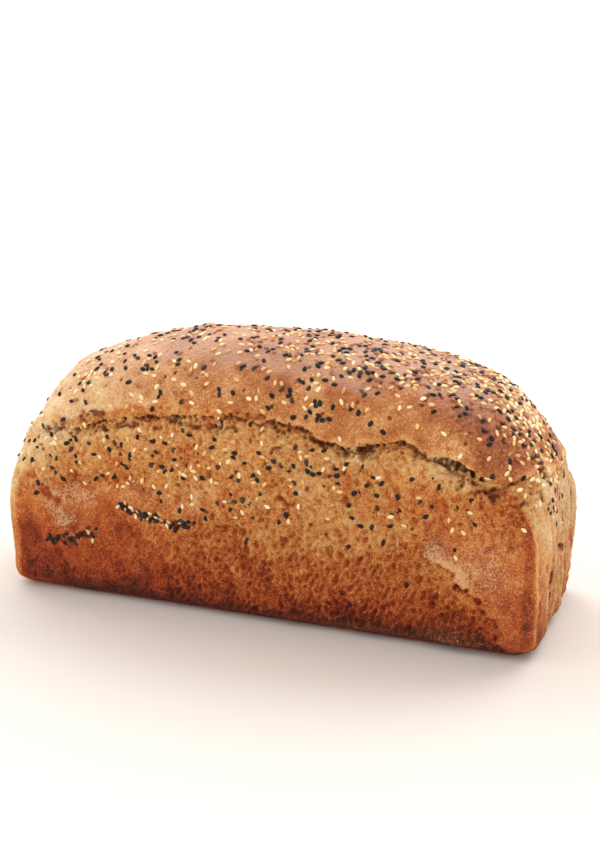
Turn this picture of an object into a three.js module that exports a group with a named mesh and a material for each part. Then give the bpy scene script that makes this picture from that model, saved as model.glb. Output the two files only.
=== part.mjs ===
// A seeded whole wheat tin loaf, as one solid: a flat foot, nearly upright walls that took the
// shape of the tin, a crease where the loaf rose out of it, and an arched dome above the crease.
//
// The skin is a loft of closed rings. Each ring is a rounded rectangle seen from above, and its
// height changes along it, so that the rings follow three guiding lines: the foot, the crease
// and the ridge. Millimetres, +Z up, X along the loaf, and -Y is the front.
import * as THREE from "three";
import { mergeVertices } from "three/addons/utils/BufferGeometryUtils.js";

// Driving dimensions
const LENGTH = 280; // at the fullest height of the walls
const WIDTH = 99;
const HEIGHT = 137.5; // to the top of the crown
const CORNER_RADIUS = { under: 7.5, foot: 12, crease: 30 }; // of the corners, seen from above
const FOOT_RADIUS = 9; // of the tin's bottom edge
const DRAFT = 0.014; // how far a wall leans out, for each unit of height
const BELLY_HEIGHT = 50; // where the walls are fullest, and begin to roll in
const ROLL_IN = { ends: 5, sides: 5 }; // from the belly to the crease
const CROWN = { x: 1, drop: 20.7, at: 109, power: 2.3 }; // the ridge falls by drop, this far out
const END_RUN = 28; // how far an end of the dome leans in, from the crease to the ridge
const DOME_FULLNESS = 0.85; // 1 is an ellipse across the loaf, and less is fuller
const CREASE = { x: -4, ends: 76, top: 101.6 }; // an arch, highest at x
const DOME_BULGE = 1.4; // how far the dome's lower edge swells out over an open crease

// The open crease's section, from the torn wall up to the dome's lip: up, and out of the wall
const GROOVE = [
  { up: 1.1, out: -4.2 },
  { up: 2.4, out: -3.4 },
  { up: 3, out: 0.7 },
];
const LIP = GROOVE.at(-1);

// How finely the rings are cut
const LONG_STEPS = 44;
const SHORT_STEPS = 14;
const CORNER_STEPS = 6;
const FOOT_RINGS = 4;
const WALL_RINGS = 10;
const DOME_RINGS = 9;

// Where the crease leaves its plain arch: a dip or a rise, this high and this wide
const FRONT_WAVES = [
  { x: -97, rise: -2.6, spread: 8 },
  { x: 43, rise: -6, spread: 14 },
  { x: 76, rise: 4.4, spread: 15 },
  { x: 97, rise: 1.4, spread: 12 },
  { x: 112, rise: -2, spread: 11 },
  { x: 134, rise: 6, spread: 17 },
];
const BACK_WAVES = [
  { x: -70, rise: 4.5, spread: 22 },
  { x: 10, rise: -4, spread: 18 },
  { x: 84, rise: 3.4, spread: 16 },
];

// How open the crease is, where 1 is the section above: it is nearly shut along the sides, and
// only a shallow fold on the ends
const GAPE = { sides: 0.35, ends: 0.14, most: 1.2 };

// Where it gapes more, on the front and on the back
const FRONT_GAPES = [
  { x: -88, rise: 0.3, spread: 14 },
  { x: 50, rise: 0.5, spread: 14 },
  { x: 104, rise: 0.9, spread: 20 },
];
const BACK_GAPES = [
  { x: -60, rise: 0.8, spread: 26 },
  { x: 62, rise: 0.5, spread: 22 },
];

// Knobs and hollows that the dough kept: on the dome, and pushed out of the front and back walls
const DOME_LUMPS = [
  { x: -47, y: 4, rise: 2.2, spread: 13 },
  { x: 60, y: -20, rise: -1.4, spread: 24 },
  { x: 98, y: 12, rise: 1.6, spread: 26 },
  { x: -92, y: -18, rise: 1.5, spread: 22 },
  { x: 4, y: 26, rise: -1.2, spread: 30 },
];
const WALL_LUMPS = [
  { side: -1, x: -88, z: 62, rise: -1.3, spread: 26 },
  { side: -1, x: 10, z: 44, rise: 1.1, spread: 38 },
  { side: -1, x: 96, z: 58, rise: 0.9, spread: 22 },
  { side: -1, x: 62, z: 30, rise: -0.9, spread: 24 },
  { side: 1, x: -40, z: 50, rise: 1.2, spread: 34 },
  { side: 1, x: 70, z: 40, rise: -1.1, spread: 28 },
];

const { clamp, lerp, smoothstep } = THREE.MathUtils;

// A hill of height 1 that fades out over about twice its spread.
const bell = (distance, spread) => Math.exp(-((distance / spread) ** 2));

const sumOf = (waves, x) =>
  waves.reduce((sum, w) => sum + w.rise * bell(x - w.x, w.spread), 0);

// 0 on the front wall, 1 on the back wall, and a smooth turn between them across an end.
const towardsBack = (y) => smoothstep(y, -WIDTH / 2, WIDTH / 2);

// The crease arches from end to end, and its front and back run differently.
function creaseHeight(x, y) {
  const along = clamp((x - CREASE.x) / (LENGTH / 2), -1, 1);
  const arch = lerp(CREASE.top, CREASE.ends, along * along);
  return (
    arch + lerp(sumOf(FRONT_WAVES, x), sumOf(BACK_WAVES, x), towardsBack(y))
  );
}

function gape(x, y) {
  const opened = lerp(
    sumOf(FRONT_GAPES, x),
    sumOf(BACK_GAPES, x),
    towardsBack(y),
  );
  const corner = LENGTH / 2 - CORNER_RADIUS.crease;
  const shut = smoothstep(Math.abs(x), corner, LENGTH / 2 - ROLL_IN.ends);
  return lerp(Math.min(GAPE.sides + opened, GAPE.most), GAPE.ends, shut);
}

const ridgeHeight = (x) =>
  HEIGHT - CROWN.drop * Math.abs((x - CROWN.x) / CROWN.at) ** CROWN.power;

const domeLumps = (x, y) =>
  DOME_LUMPS.reduce(
    (sum, l) => sum + l.rise * bell(Math.hypot(x - l.x, y - l.y), l.spread),
    0,
  );

const wallLumps = (x, y, z) =>
  WALL_LUMPS.reduce(
    (sum, l) =>
      sum +
      (Math.sign(y) === l.side ? l.rise : 0) *
        bell(Math.hypot(x - l.x, z - l.z), l.spread),
    0,
  );

// A rounded rectangle's points with their outward normals, counter-clockwise from above. Every
// ring has the same number of points on each side and corner, so rings join point to point.
function outline(halfLength, halfWidth, radius) {
  const cx = halfLength - radius;
  const cy = halfWidth - radius;
  const points = [];
  const addCorner = (signX, signY, start) => {
    for (let i = 0; i < CORNER_STEPS; i++) {
      const angle = start + (i / CORNER_STEPS) * (Math.PI / 2);
      const [nx, ny] = [Math.cos(angle), Math.sin(angle)];
      points.push({ x: signX * cx + radius * nx, y: signY * cy + radius * ny, nx, ny });
    }
  };
  const addSide = (steps, x0, y0, x1, y1, nx, ny) => {
    for (let i = 0; i < steps; i++) {
      const t = i / steps;
      points.push({ x: lerp(x0, x1, t), y: lerp(y0, y1, t), nx, ny });
    }
  };
  addSide(SHORT_STEPS, halfLength, -cy, halfLength, cy, 1, 0);
  addCorner(1, 1, 0);
  addSide(LONG_STEPS, cx, halfWidth, -cx, halfWidth, 0, 1);
  addCorner(-1, 1, Math.PI / 2);
  addSide(SHORT_STEPS, -halfLength, cy, -halfLength, -cy, -1, 0);
  addCorner(-1, -1, Math.PI);
  addSide(LONG_STEPS, -cx, -halfWidth, cx, -halfWidth, 0, -1);
  addCorner(1, -1, 1.5 * Math.PI);
  return points;
}

// 0 up to the belly, and rising to 1 at the crease.
function pastBelly(z) {
  const share = clamp((z - BELLY_HEIGHT) / (CREASE.ends - BELLY_HEIGHT), 0, 1);
  return share * share;
}

// How far the walls stand from the loaf's middle at a height: they lean out with the tin's
// draft up to the belly, and roll in above it.
function wallReach(half, rollIn, z) {
  const lean = DRAFT * (z - BELLY_HEIGHT);
  return half + Math.min(lean, 0) - rollIn * pastBelly(z);
}

// One ring as points in space: an outline, with each point's height and its push along the normal.
function ring(halfLength, halfWidth, radius, heightAt, pushAt = () => 0) {
  return outline(halfLength, halfWidth, radius).map((p) => {
    const z = heightAt(p.x, p.y);
    const push = pushAt(p.x, p.y, z);
    return new THREE.Vector3(p.x + push * p.nx, p.y + push * p.ny, z);
  });
}

// The flat underside, from a line along its middle to the start of the foot's rounding.
function undersideRings() {
  const reach = -DRAFT * BELLY_HEIGHT - FOOT_RADIUS;
  const halfWidth = WIDTH / 2 + reach;
  return [0, 0.5].map((share) =>
    ring(
      LENGTH / 2 + reach - halfWidth * (1 - share),
      halfWidth * share,
      CORNER_RADIUS.under * share,
      () => 0,
    ),
  );
}

// The rounded bottom edge.
function footRings() {
  const rings = [];
  for (let i = 0; i <= FOOT_RINGS; i++) {
    const angle = (i / FOOT_RINGS) * (Math.PI / 2);
    const z = FOOT_RADIUS * (1 - Math.cos(angle));
    const inset = -DRAFT * (BELLY_HEIGHT - z) - FOOT_RADIUS * (1 - Math.sin(angle));
    const radius = lerp(CORNER_RADIUS.under, CORNER_RADIUS.foot, Math.sin(angle));
    rings.push(ring(LENGTH / 2 + inset, WIDTH / 2 + inset, radius, () => z));
  }
  return rings;
}

// The walls, from the foot to the crease. A ring keeps its share of the way up all round.
function wallRings() {
  const rings = [];
  for (let i = 1; i <= WALL_RINGS; i++) {
    const share = i / WALL_RINGS;
    const z = lerp(FOOT_RADIUS, CREASE.ends, share);
    rings.push(
      ring(
        wallReach(LENGTH / 2, ROLL_IN.ends, z),
        wallReach(WIDTH / 2, ROLL_IN.sides, z),
        lerp(CORNER_RADIUS.foot, CORNER_RADIUS.crease, pastBelly(z)),
        (x, y) => lerp(FOOT_RADIUS, creaseHeight(x, y), share),
        wallLumps,
      ),
    );
  }
  return rings;
}

// The dome's half sizes at its rim, seen from above.
const RIM = {
  halfLength: LENGTH / 2 - ROLL_IN.ends,
  halfWidth: WIDTH / 2 - ROLL_IN.sides,
};

// The crease: a groove under the dome's lip, deep where it gapes.
function creaseRings() {
  return GROOVE.map(({ up, out }) =>
    ring(
      RIM.halfLength,
      RIM.halfWidth,
      CORNER_RADIUS.crease,
      (x, y) => creaseHeight(x, y) + up * gape(x, y),
      (x, y) => out * gape(x, y),
    ),
  );
}

// The dome, from its lip to the ridge. Its last ring has no width: it is the ridge line.
function domeRings() {
  const rings = [];
  for (let i = 1; i <= DOME_RINGS; i++) {
    const angle = (i / DOME_RINGS) * (Math.PI / 2);
    const closing = i === DOME_RINGS ? 0 : Math.cos(angle);
    const bulge = DOME_BULGE * closing;
    const halfWidth = RIM.halfWidth * closing ** DOME_FULLNESS;
    const corner = lerp(halfWidth, CORNER_RADIUS.crease, closing ** 2);
    const radius = Math.min(corner, halfWidth);
    rings.push(
      ring(
        RIM.halfLength - END_RUN * (1 - closing),
        halfWidth,
        radius,
        (x, y) => {
          const low = creaseHeight(x, y) + LIP.up * gape(x, y);
          const climb = Math.sin(angle);
          return lerp(low, ridgeHeight(x), climb) + domeLumps(x, y) * climb;
        },
        (x, y) => bulge * gape(x, y),
      ),
    );
  }
  return rings;
}

// Joins rings point to point into one closed skin. A ring with no width shares its points
// between front and back, and the triangles that this leaves without area are dropped.
function loft(rings) {
  const around = rings[0].length;
  const positions = rings.flatMap((points) => points.flatMap((p) => p.toArray()));
  const faces = [];
  for (let r = 0; r + 1 < rings.length; r++) {
    for (let i = 0; i < around; i++) {
      const next = (i + 1) % around;
      const [a, b] = [r * around + i, r * around + next];
      const [c, d] = [b + around, a + around];
      faces.push(a, b, c, a, c, d);
    }
  }
  const open = new THREE.BufferGeometry();
  open.setAttribute("position", new THREE.Float32BufferAttribute(positions, 3));
  open.setIndex(faces);
  const skin = mergeVertices(open, 1e-3);
  const kept = [];
  const index = skin.index.array;
  for (let i = 0; i < index.length; i += 3) {
    const [a, b, c] = index.subarray(i, i + 3);
    if (a !== b && b !== c && c !== a) kept.push(a, b, c);
  }
  skin.setIndex(kept);
  return skin;
}

// Puts the middle of the footprint's box at the origin, with the underside at height 0.
function centreOnFoot(geometry) {
  geometry.computeBoundingBox();
  const { min, max } = geometry.boundingBox;
  geometry.translate(-(min.x + max.x) / 2, -(min.y + max.y) / 2, -min.z);
  return geometry;
}

const loafSkin = centreOnFoot(
  loft([
    ...undersideRings(),
    ...footRings(),
    ...wallRings(),
    ...creaseRings(),
    ...domeRings(),
  ]),
);
loafSkin.computeVertexNormals();

const crust = new THREE.MeshStandardMaterial({
  color: 0xb87640,
  roughness: 0.85,
  metalness: 0,
});

const loaf = new THREE.Mesh(loafSkin, crust);
loaf.name = "loaf";

const bread = new THREE.Group();
bread.add(loaf);

export default bread;
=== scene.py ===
# %% [markdown]
# # A seeded whole wheat tin loaf
#
# This lesson dresses a plain solid loaf as real bread. The solid has the right size, the straight
# walls of the tin, the crease where the dough rose over the rim, and the dome. What it lacks is
# everything that baking leaves on a crust: torn crumb, wrinkles, blisters, flour, browning, and
# a scatter of pale and black sesame seeds.
#
# Everything is in metres in Blender, but the crust is worked in millimetres, as a hand would.

import math

import bmesh
import bpy
import numpy as np
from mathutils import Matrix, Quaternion, Vector
from mathutils.kdtree import KDTree


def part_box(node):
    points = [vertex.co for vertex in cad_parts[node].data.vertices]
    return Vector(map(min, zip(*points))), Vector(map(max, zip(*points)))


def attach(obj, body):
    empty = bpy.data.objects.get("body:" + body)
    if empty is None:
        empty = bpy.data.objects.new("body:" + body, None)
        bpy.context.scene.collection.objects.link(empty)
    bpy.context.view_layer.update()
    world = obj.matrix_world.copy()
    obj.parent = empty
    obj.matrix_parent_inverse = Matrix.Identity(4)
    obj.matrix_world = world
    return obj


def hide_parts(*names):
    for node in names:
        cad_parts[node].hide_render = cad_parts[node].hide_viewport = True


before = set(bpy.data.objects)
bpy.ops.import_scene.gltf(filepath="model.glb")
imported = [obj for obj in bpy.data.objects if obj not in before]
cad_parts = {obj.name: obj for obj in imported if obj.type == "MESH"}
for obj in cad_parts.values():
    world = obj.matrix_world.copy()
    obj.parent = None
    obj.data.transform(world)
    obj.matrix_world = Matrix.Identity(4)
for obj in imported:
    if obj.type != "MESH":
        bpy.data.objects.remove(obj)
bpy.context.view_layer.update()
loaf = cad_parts["loaf"]
low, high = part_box("loaf")
MM = 0.001
LENGTH, WIDTH, HEIGHT = ((high - low) / MM)[:]
print(f"loaf: {LENGTH:.1f} x {WIDTH:.1f} x {HEIGHT:.1f} mm")

# %% [markdown]
# ## The camera
#
# It stands at table height, a little above the loaf and to the right, so that the long front
# wall, the dome and a sliver of the right end all show. A long lens from 0.7 m keeps the walls
# nearly upright. A bearing counts round the loaf: 0 is its front, and 90 its right end.

# %% Camera
BEARING, RISE = 20.4, 16.3  # degrees
DISTANCE = 0.7
LENS = 58.87
AIM_ALONG, AIM_UP = 0.0209, 0.647  # shares of the loaf's length and height


def sight_line(bearing, rise):
    """The direction from the loaf towards a bearing and a rise, both in degrees."""
    turn, tilt = math.radians(bearing), math.radians(rise)
    level = math.cos(tilt)
    return Vector((math.sin(turn) * level, -math.cos(turn) * level, math.sin(tilt)))


away = sight_line(BEARING, RISE)
aim = Vector((AIM_ALONG * (high.x - low.x), 0, AIM_UP * high.z))
camera_lens = bpy.data.cameras.new("camera")
camera_lens.lens = LENS
camera = bpy.data.objects.new("camera", camera_lens)
camera.location = aim + away * DISTANCE
camera.rotation_euler = away.to_track_quat("Z", "Y").to_euler()
bpy.context.scene.collection.objects.link(camera)
bpy.context.scene.camera = camera
print("camera at", tuple(round(c, 3) for c in camera.location))

# %% [markdown]
# ## Light
#
# Wide soft light comes from two bright windows behind the loaf. The right one draws a sheen on
# the dome, which a sheen painted into the crust's colour makes stronger, and brightens the right
# end; the left one lights the back and the other end, and a weak light from the front fills the
# long wall. Suns with a wide angle give such light evenly, so that the floor stays pale all the way
# back. The world is plain white, which keeps the shadows open.

# %% Lights and world
def soft_sun(name, bearing, rise, strength, spread, tint=(1, 1, 1)):
    """Wide soft light from a bearing and a rise, from a source that is spread degrees wide."""
    lamp = bpy.data.lights.new(name, "SUN")
    lamp.energy = strength
    lamp.angle = math.radians(spread)
    lamp.color = tint
    sun = bpy.data.objects.new(name, lamp)
    sun.rotation_euler = sight_line(bearing, rise).to_track_quat("Z", "Y").to_euler()
    bpy.context.scene.collection.objects.link(sun)


soft_sun("right window", 155, 42, 1.6, 40, tint=(1, 0.98, 0.95))
soft_sun("left window", -130, 38, 1.5, 50)
soft_sun("front fill", -25, 35, 0.35, 80)

world = bpy.data.worlds.new("room")
bpy.context.scene.world = world
world.use_nodes = True
background = world.node_tree.nodes["Background"]
background.inputs["Color"].default_value = (1, 1, 1, 1)
background.inputs["Strength"].default_value = 1.0
bpy.context.scene.view_settings.view_transform = "Standard"

# %% [markdown]
# ## The skin
#
# The crust starts as a copy of the solid's skin. That skin is made of loose triangles, so its
# doubles are merged first, and its triangles are joined into the rings and rows of quads that they
# came from.

# %% Copy and merge the skin
SAME_PLACE = 1e-6
NEARLY_FLAT = math.radians(60)


def choose(piece):
    """Select one piece and nothing else."""
    bpy.ops.object.select_all(action="DESELECT")
    piece.select_set(True)
    bpy.context.view_layer.objects.active = piece


def duplicate(piece, name):
    choose(piece)
    bpy.ops.object.duplicate()
    copy = bpy.context.object
    copy.name = copy.data.name = name
    return copy


crust = duplicate(loaf, "crust")
bpy.ops.object.mode_set(mode="EDIT")
bpy.ops.mesh.select_all(action="SELECT")
bpy.ops.mesh.remove_doubles(threshold=SAME_PLACE)
bpy.ops.mesh.tris_convert_to_quads(face_threshold=NEARLY_FLAT, shape_threshold=NEARLY_FLAT)
bpy.ops.object.mode_set(mode="OBJECT")
print("skin:", len(crust.data.vertices), "points,", len(crust.data.polygons), "faces")

# %% [markdown]
# The crease is the line that everything is judged from: above it is the dome, and below it the
# dough tore and then took the shape of the tin. It is found on the skin itself, as the edges
# where two faces fold inwards. Its height is kept along the front and along the back.

# %% Find the crease
FOLD = math.radians(-35)  # an edge that folds inwards by more than this is in the crease
SIDE_SHARE = 0.7  # of half the width: further out is the front or the back, and not an end

skin = bmesh.new()
skin.from_mesh(crust.data)
folds = [e for e in skin.edges if e.is_manifold and e.calc_face_angle_signed() < FOLD]
fold_line = np.array([(e.verts[0].co + e.verts[1].co) / 2 for e in folds]) / MM
skin.free()
fold_line = fold_line[np.argsort(fold_line[:, 0])]
front_fold = fold_line[fold_line[:, 1] < -SIDE_SHARE * WIDTH / 2]
back_fold = fold_line[fold_line[:, 1] > SIDE_SHARE * WIDTH / 2]
print("crease: from", round(fold_line[:, 2].min(), 1), "to", round(fold_line[:, 2].max(), 1), "mm up")

# %% [markdown]
# A few measures are used again and again: a smooth step, a round hill, a mix of two values, and
# gentle random ripples. The ripples are a sum of waves that run in random directions, which has no
# grid in it, so that nothing on the crust looks woven. They mostly lie between -1.5 and 1.5.

# %% Helpers for soft shapes
def step(start, end, value):
    """0 before start, 1 after end, and smooth between them. start may be above end."""
    share = np.clip((value - start) / (end - start), 0, 1)
    return share * share * (3 - 2 * share)


def hill(distance, spread):
    """1 at no distance, and fading to nothing over about twice the spread."""
    return np.exp(-((distance / spread) ** 2))


def mixed(first, second, share):
    """The first value where share is 0, the second where it is 1."""
    return first + (second - first) * share


def ripples(spots, size, seed, stretch=(1, 1, 1), waves=26):
    """Random hills about size apart, longer along an axis where stretch is above 1."""
    dice = np.random.default_rng(seed)
    heading = dice.normal(size=(waves, 3))
    heading /= np.linalg.norm(heading, axis=1)[:, None]
    heading /= (size * dice.uniform(0.7, 1.5, waves))[:, None]
    shift = dice.uniform(0, 2 * math.pi, waves)
    angles = (spots / np.array(stretch)) @ heading.T * 2 * math.pi + shift
    return np.sin(angles).sum(axis=1) / math.sqrt(waves / 2)


def towards_back(y):
    """0 at the front wall, 1 at the back wall, and smooth between them."""
    return step(-WIDTH / 2, WIDTH / 2, y)


def crease_height(x, y):
    front_height = np.interp(x, front_fold[:, 0], front_fold[:, 2])
    back_height = np.interp(x, back_fold[:, 0], back_fold[:, 2])
    return mixed(front_height, back_height, towards_back(y))


print("crease in the middle of the front:", round(float(crease_height(0, -WIDTH / 2)), 1), "mm up")

# %% [markdown]
# ## An even skin
#
# Two levels of subdivision round off the rows of quads. Sculpting then needs points that lie close
# and even, wherever the detail will be, so a Remesh modifier in voxel mode rebuilds the whole skin
# as small squares, and a Smooth modifier takes off the little steps that this leaves.

# %% Remesh the skin
GRAIN = 0.63 * MM  # the side of a square: as fine as a quarter of the crust can carry


def apply_modifier(piece, kind, **settings):
    choose(piece)
    modifier = piece.modifiers.new(kind.lower(), kind)
    for name, value in settings.items():
        setattr(modifier, name, value)
    bpy.ops.object.modifier_apply(modifier=modifier.name)


apply_modifier(crust, "SUBSURF", levels=2, render_levels=2)
apply_modifier(crust, "REMESH", mode="VOXEL", voxel_size=GRAIN, adaptivity=0)
apply_modifier(crust, "SMOOTH", factor=0.5, iterations=3)
print("even skin:", len(crust.data.vertices), "points")

# %% [markdown]
# The strokes push points in or out along steady directions, so that a deep cut doesn't cross
# itself. A soft copy of the skin, smoothed until only the loaf's big forms are left, lends its
# normals. They also tell the front, the back and the two ends apart, as masks from 0 to 1.

# %% Measure the skin
def places(piece):
    flat = np.empty(len(piece.data.vertices) * 3, np.float32)
    piece.data.vertices.foreach_get("co", flat)
    return flat.reshape(-1, 3).astype(float) / MM


def directions(piece):
    flat = np.empty(len(piece.data.vertices) * 3, np.float32)
    piece.data.vertex_normals.foreach_get("vector", flat)
    return flat.reshape(-1, 3).astype(float)


soft = duplicate(crust, "soft")
apply_modifier(soft, "SMOOTH", factor=1, iterations=40)
outward = directions(soft)
bpy.data.objects.remove(soft)

spots = places(crust)
x, y, z = spots.T
above = z - crease_height(x, y)
front = step(-0.55, -0.8, outward[:, 1])
back = step(0.55, 0.8, outward[:, 1])
right_end = step(0.6, 0.85, outward[:, 0])
left_end = step(-0.6, -0.85, outward[:, 0])
sides = np.clip(front + back, 0, 1)
ends = right_end + left_end
print("highest point above the crease:", round(above.max(), 1), "mm")

# %% [markdown]
# ## Strokes
#
# Every feature of the skin is a stroke: a number of millimetres for each point, in or out. Most
# strokes are made from distances to a line and from ripples. Ridged ripples, folded over at
# zero, give crests like torn crumb. Small round features, such as bubbles and dents, are pressed
# in one by one around a middle point; they are a little taller than wide, because the rising
# dough stretched them.

# %% Helpers for strokes
def crests(size, seed, stretch=(1, 1, 1)):
    return 1 - 1.6 * np.abs(ripples(spots, size, seed, stretch))


STRETCH = np.array([1, 1, 1.2])  # how much taller than wide the round features are
near = KDTree(len(spots))
for number, spot in enumerate(spots / STRETCH):
    near.insert(spot, number)
near.balance()


def pick(count, weight, seed):
    """Numbers of skin points, picked at random, more of them where the weight is higher."""
    return np.random.default_rng(seed).choice(len(spots), size=count, p=weight / weight.sum())


def bowls(middles, smallest, largest, seed):
    """Round bowls pressed around points: for each skin point, the depth of the deepest one."""
    dice = np.random.default_rng(seed)
    sizes = smallest * (largest / smallest) ** dice.uniform(0, 1, len(middles)) ** 1.5
    depth = np.zeros(len(spots))
    for middle, size in zip(middles, sizes):
        found = near.find_range(spots[middle] / STRETCH, size)
        numbers = [number for _, number, _ in found]
        gaps = np.array([gap for _, _, gap in found])
        depth[numbers] = np.maximum(depth[numbers], size * (1 - (gaps / size) ** 2))
    return depth


def ball(centre, spread):
    """A weight round a point of the loaf, fading over a spread along each axis."""
    return np.exp(-np.sum(((spots - np.array(centre)) / np.array(spread)) ** 2, axis=1))


def disc(centre, spread):
    """A weight round a point of a long wall, given along it and up, with a spread each way."""
    return hill(np.hypot((x - centre[0]) / spread[0], (z - centre[1]) / spread[1]), 1)


def path_distance(path, across, up):
    """Millimetres from each point of the skin to a path drawn on a wall."""
    nearest = np.full(len(spots), np.inf)
    for (ax, az), (bx, bz) in zip(path[:-1], path[1:]):
        length = math.hypot(bx - ax, bz - az)
        along = ((across - ax) * (bx - ax) + (up - az) * (bz - az)) / length**2
        along = np.clip(along, 0, 1)
        gap = np.hypot(across - ax - along * (bx - ax), up - az - along * (bz - az))
        nearest = np.minimum(nearest, gap)
    return nearest


print("stroke tree:", len(spots), "points")

# %% [markdown]
# ## The crease and the torn crumb
#
# Where the dome tore away from the wall, a band of bare crumb shows under the dome's lip. It is
# deepest just under the lip, and ends below in a ledge with a ragged edge. How far it opens
# changes along the loaf: each tear has a place along the loaf, a strength and a spread. The left
# half of the front hardly opened: it bulges softly over the crease, and the dome's skin starts a
# little higher there.

# %% Open the crease
FRONT_TEARS = [
    (-92, 0.12, 18),
    (-52, 0.06, 12),
    (22, 0.15, 10),
    (50, 0.75, 15),
    (84, 0.5, 12),
    (108, 0.78, 16),
]
BACK_TEARS = [(-66, 0.8, 26), (-8, 0.3, 20), (62, 0.6, 24), (110, 0.4, 12)]


def tear_strength(tears):
    return sum(strength * hill(x - at, spread) for at, strength, spread in tears)


opening = mixed(tear_strength(FRONT_TEARS), tear_strength(BACK_TEARS), towards_back(y))
opening = (0.1 + opening) * (0.3 + 0.7 * sides)
lip = above + 0.8 * ripples(spots, 14, 11) + 0.3 * ripples(spots, 5, 12)  # the crease, wandering
facing_front = step(-0.15, -0.45, outward[:, 1])
left_half = step(12, -18, x) * facing_front
torn = lip - 3.5 * left_half * (0.8 + 0.3 * ripples(spots, 18, 49))
ragged = 0.5 * ripples(spots, 3.5, 15) + 0.9 * ripples(spots, 7, 16)
band = 5.0 + 2.0 * opening + 1.3 * ripples(spots, 14, 13)
down = -(lip + ragged * step(-0.5, -3, lip)) / band  # 0 at the lip, 1 at the ledge
cavity = step(0, 0.2, down) * step(0.95, 0.3, down)
ledge = hill(down - 1.1, 0.35) * (0.6 + 0.6 * crests(4, 14, (1, 1, 1.6)))
relief = -cavity * (0.3 + 3.1 * opening) + ledge * (0.3 + 0.8 * opening)
relief += 0.6 * hill(lip - 1.2, 1.8) * opening + 1.2 * hill(lip + 1, 3) * left_half
print("the torn band is up to", round(float(band.max()), 1), "mm tall")

# %% [markdown]
# Small marks follow the tear. Stitches are rows of pits where strands of dough held on, and caves
# lie in its widest parts. Cracks run just under the lip. On the left half of the front they are a
# few broken rows of splits, each drawn as a path along the wall and up. Pinholes lie below.

# %% Stitches, caves, cracks and pinholes
SPLITS = [
    [(-114, 86), (-103, 90), (-97, 93), (-92, 96), (-81, 98)],
    [(-98, 88), (-85, 90), (-74, 91), (-66, 94), (-56, 98), (-40, 99)],
    [(-44, 97), (-33, 96), (-20, 96), (-10, 97)],
    [(-18, 102), (-5, 103), (4, 103), (12, 100), (24, 100)],
]
stitch_line = hill(down - 0.12, 0.1) + 0.8 * hill(down - 0.8, 0.12)
stitches = bowls(pick(620, stitch_line * (0.15 + sides), 17), 0.5, 1.3, 18)
caves = bowls(pick(34, cavity * np.clip(opening - 0.3, 0, 1) * sides, 19), 1.4, 2.6, 20)
cracks = hill(lip + 0.7, 0.8) * step(-0.5, 0.5, ripples(spots, 9, 44)) * sides * (1 - left_half)
dotted = (0.35 + 0.65 * step(-0.3, 0.5, ripples(spots, 3.5, 50))) * facing_front
fray = 0.6 * ripples(spots, 3, 59) + 0.5 * ripples(spots, 8, 60)
for path in SPLITS:
    cracks = np.maximum(cracks, hill(path_distance(path, x, z) + fray, 1.5) * dotted)
holes_near = hill(lip + 2.2, 2.6) * (0.3 + np.clip(ripples(spots, 12, 46), 0, 1)) * sides
pinholes = bowls(pick(420, holes_near, 47), 0.6, 1.2, 48)
relief -= 1.3 * stitches + 0.7 * caves + 1.3 * cracks + 0.9 * pinholes
print("deepest cut under the lip:", round(-relief.min(), 1), "mm")

# %% [markdown]
# ## Sheets of smooth dough
#
# Smooth floury patches lie on the walls, where the dough was folded over itself in the tin. The
# largest is a sheet at the front's right. Its clear edge runs down and to the right, and is given
# as heights, with the place along the loaf at each.

# %% Sheets
SHEET_EDGE = [(4, 123), (9, 122), (20, 118), (34, 102), (46, 89), (64, 72), (79, 60)]
SLANT = 0.72  # turns a gap along the loaf into a gap across the slanting edge
wobble = 1.6 * ripples(spots, 12, 41) + 0.7 * ripples(spots, 4, 42)


def patch(centre, spread, side):
    """A soft round patch on one side, 1 in its middle, with a wandering edge."""
    return step(0.25, 0.8, disc(centre, spread) + 0.1 * wobble) * side


edge_heights, edge_places = np.array(SHEET_EDGE).T
sheet_edge = (x - np.interp(z, edge_heights, edge_places)) * SLANT + wobble
softness = 1 + 8 * step(46, 60, z)
sheet = step(-0.4, 1.4, sheet_edge / softness) * front * step(-6, -20, above)
left_sheet = patch((-104, 49), (26, 13), front)
pink_sheet = patch((-50, 57), (28, 9), front)
back_sheet = patch((52, 42), (34, 16), back)
smooth = np.clip(sheet + left_sheet + 0.8 * pink_sheet + back_sheet, 0, 1)
print("smooth share of the skin:", round(float(smooth.mean()), 2))

# %% [markdown]
# ## Crumb
#
# Below the crease the crumb is torn, soft and lumpy. Further down, the tin pressed the dough's
# bubbles open against its wall, and they left a net of thin ridges around round pits. The net is
# plainest on the right half, and fades out towards the left end.

# %% Where the crumb lies
dome = step(0, 4, torn)
under_lip = step(1.5, -1.5, torn)
shred = under_lip * step(46, 62, z + 5 * ripples(spots, 26, 21)) * (0.35 + 0.65 * sides)
pressed = under_lip * (1 - shred) * step(1, 6, z) * (1 - 0.8 * smooth) * (1 - 0.6 * ends)
patchy = np.clip(0.75 + 0.3 * ripples(spots, 24, 22), 0.2, 1.2) * (0.15 + step(-85, 0, x))
netted = 0.35 + 0.65 * step(-90, 0, x)
for name, mask in (("dome", dome), ("torn crumb", shred), ("pressed crumb", pressed)):
    print(name, "covers", round(100 * float(mask.mean())), "% of the skin")

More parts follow.
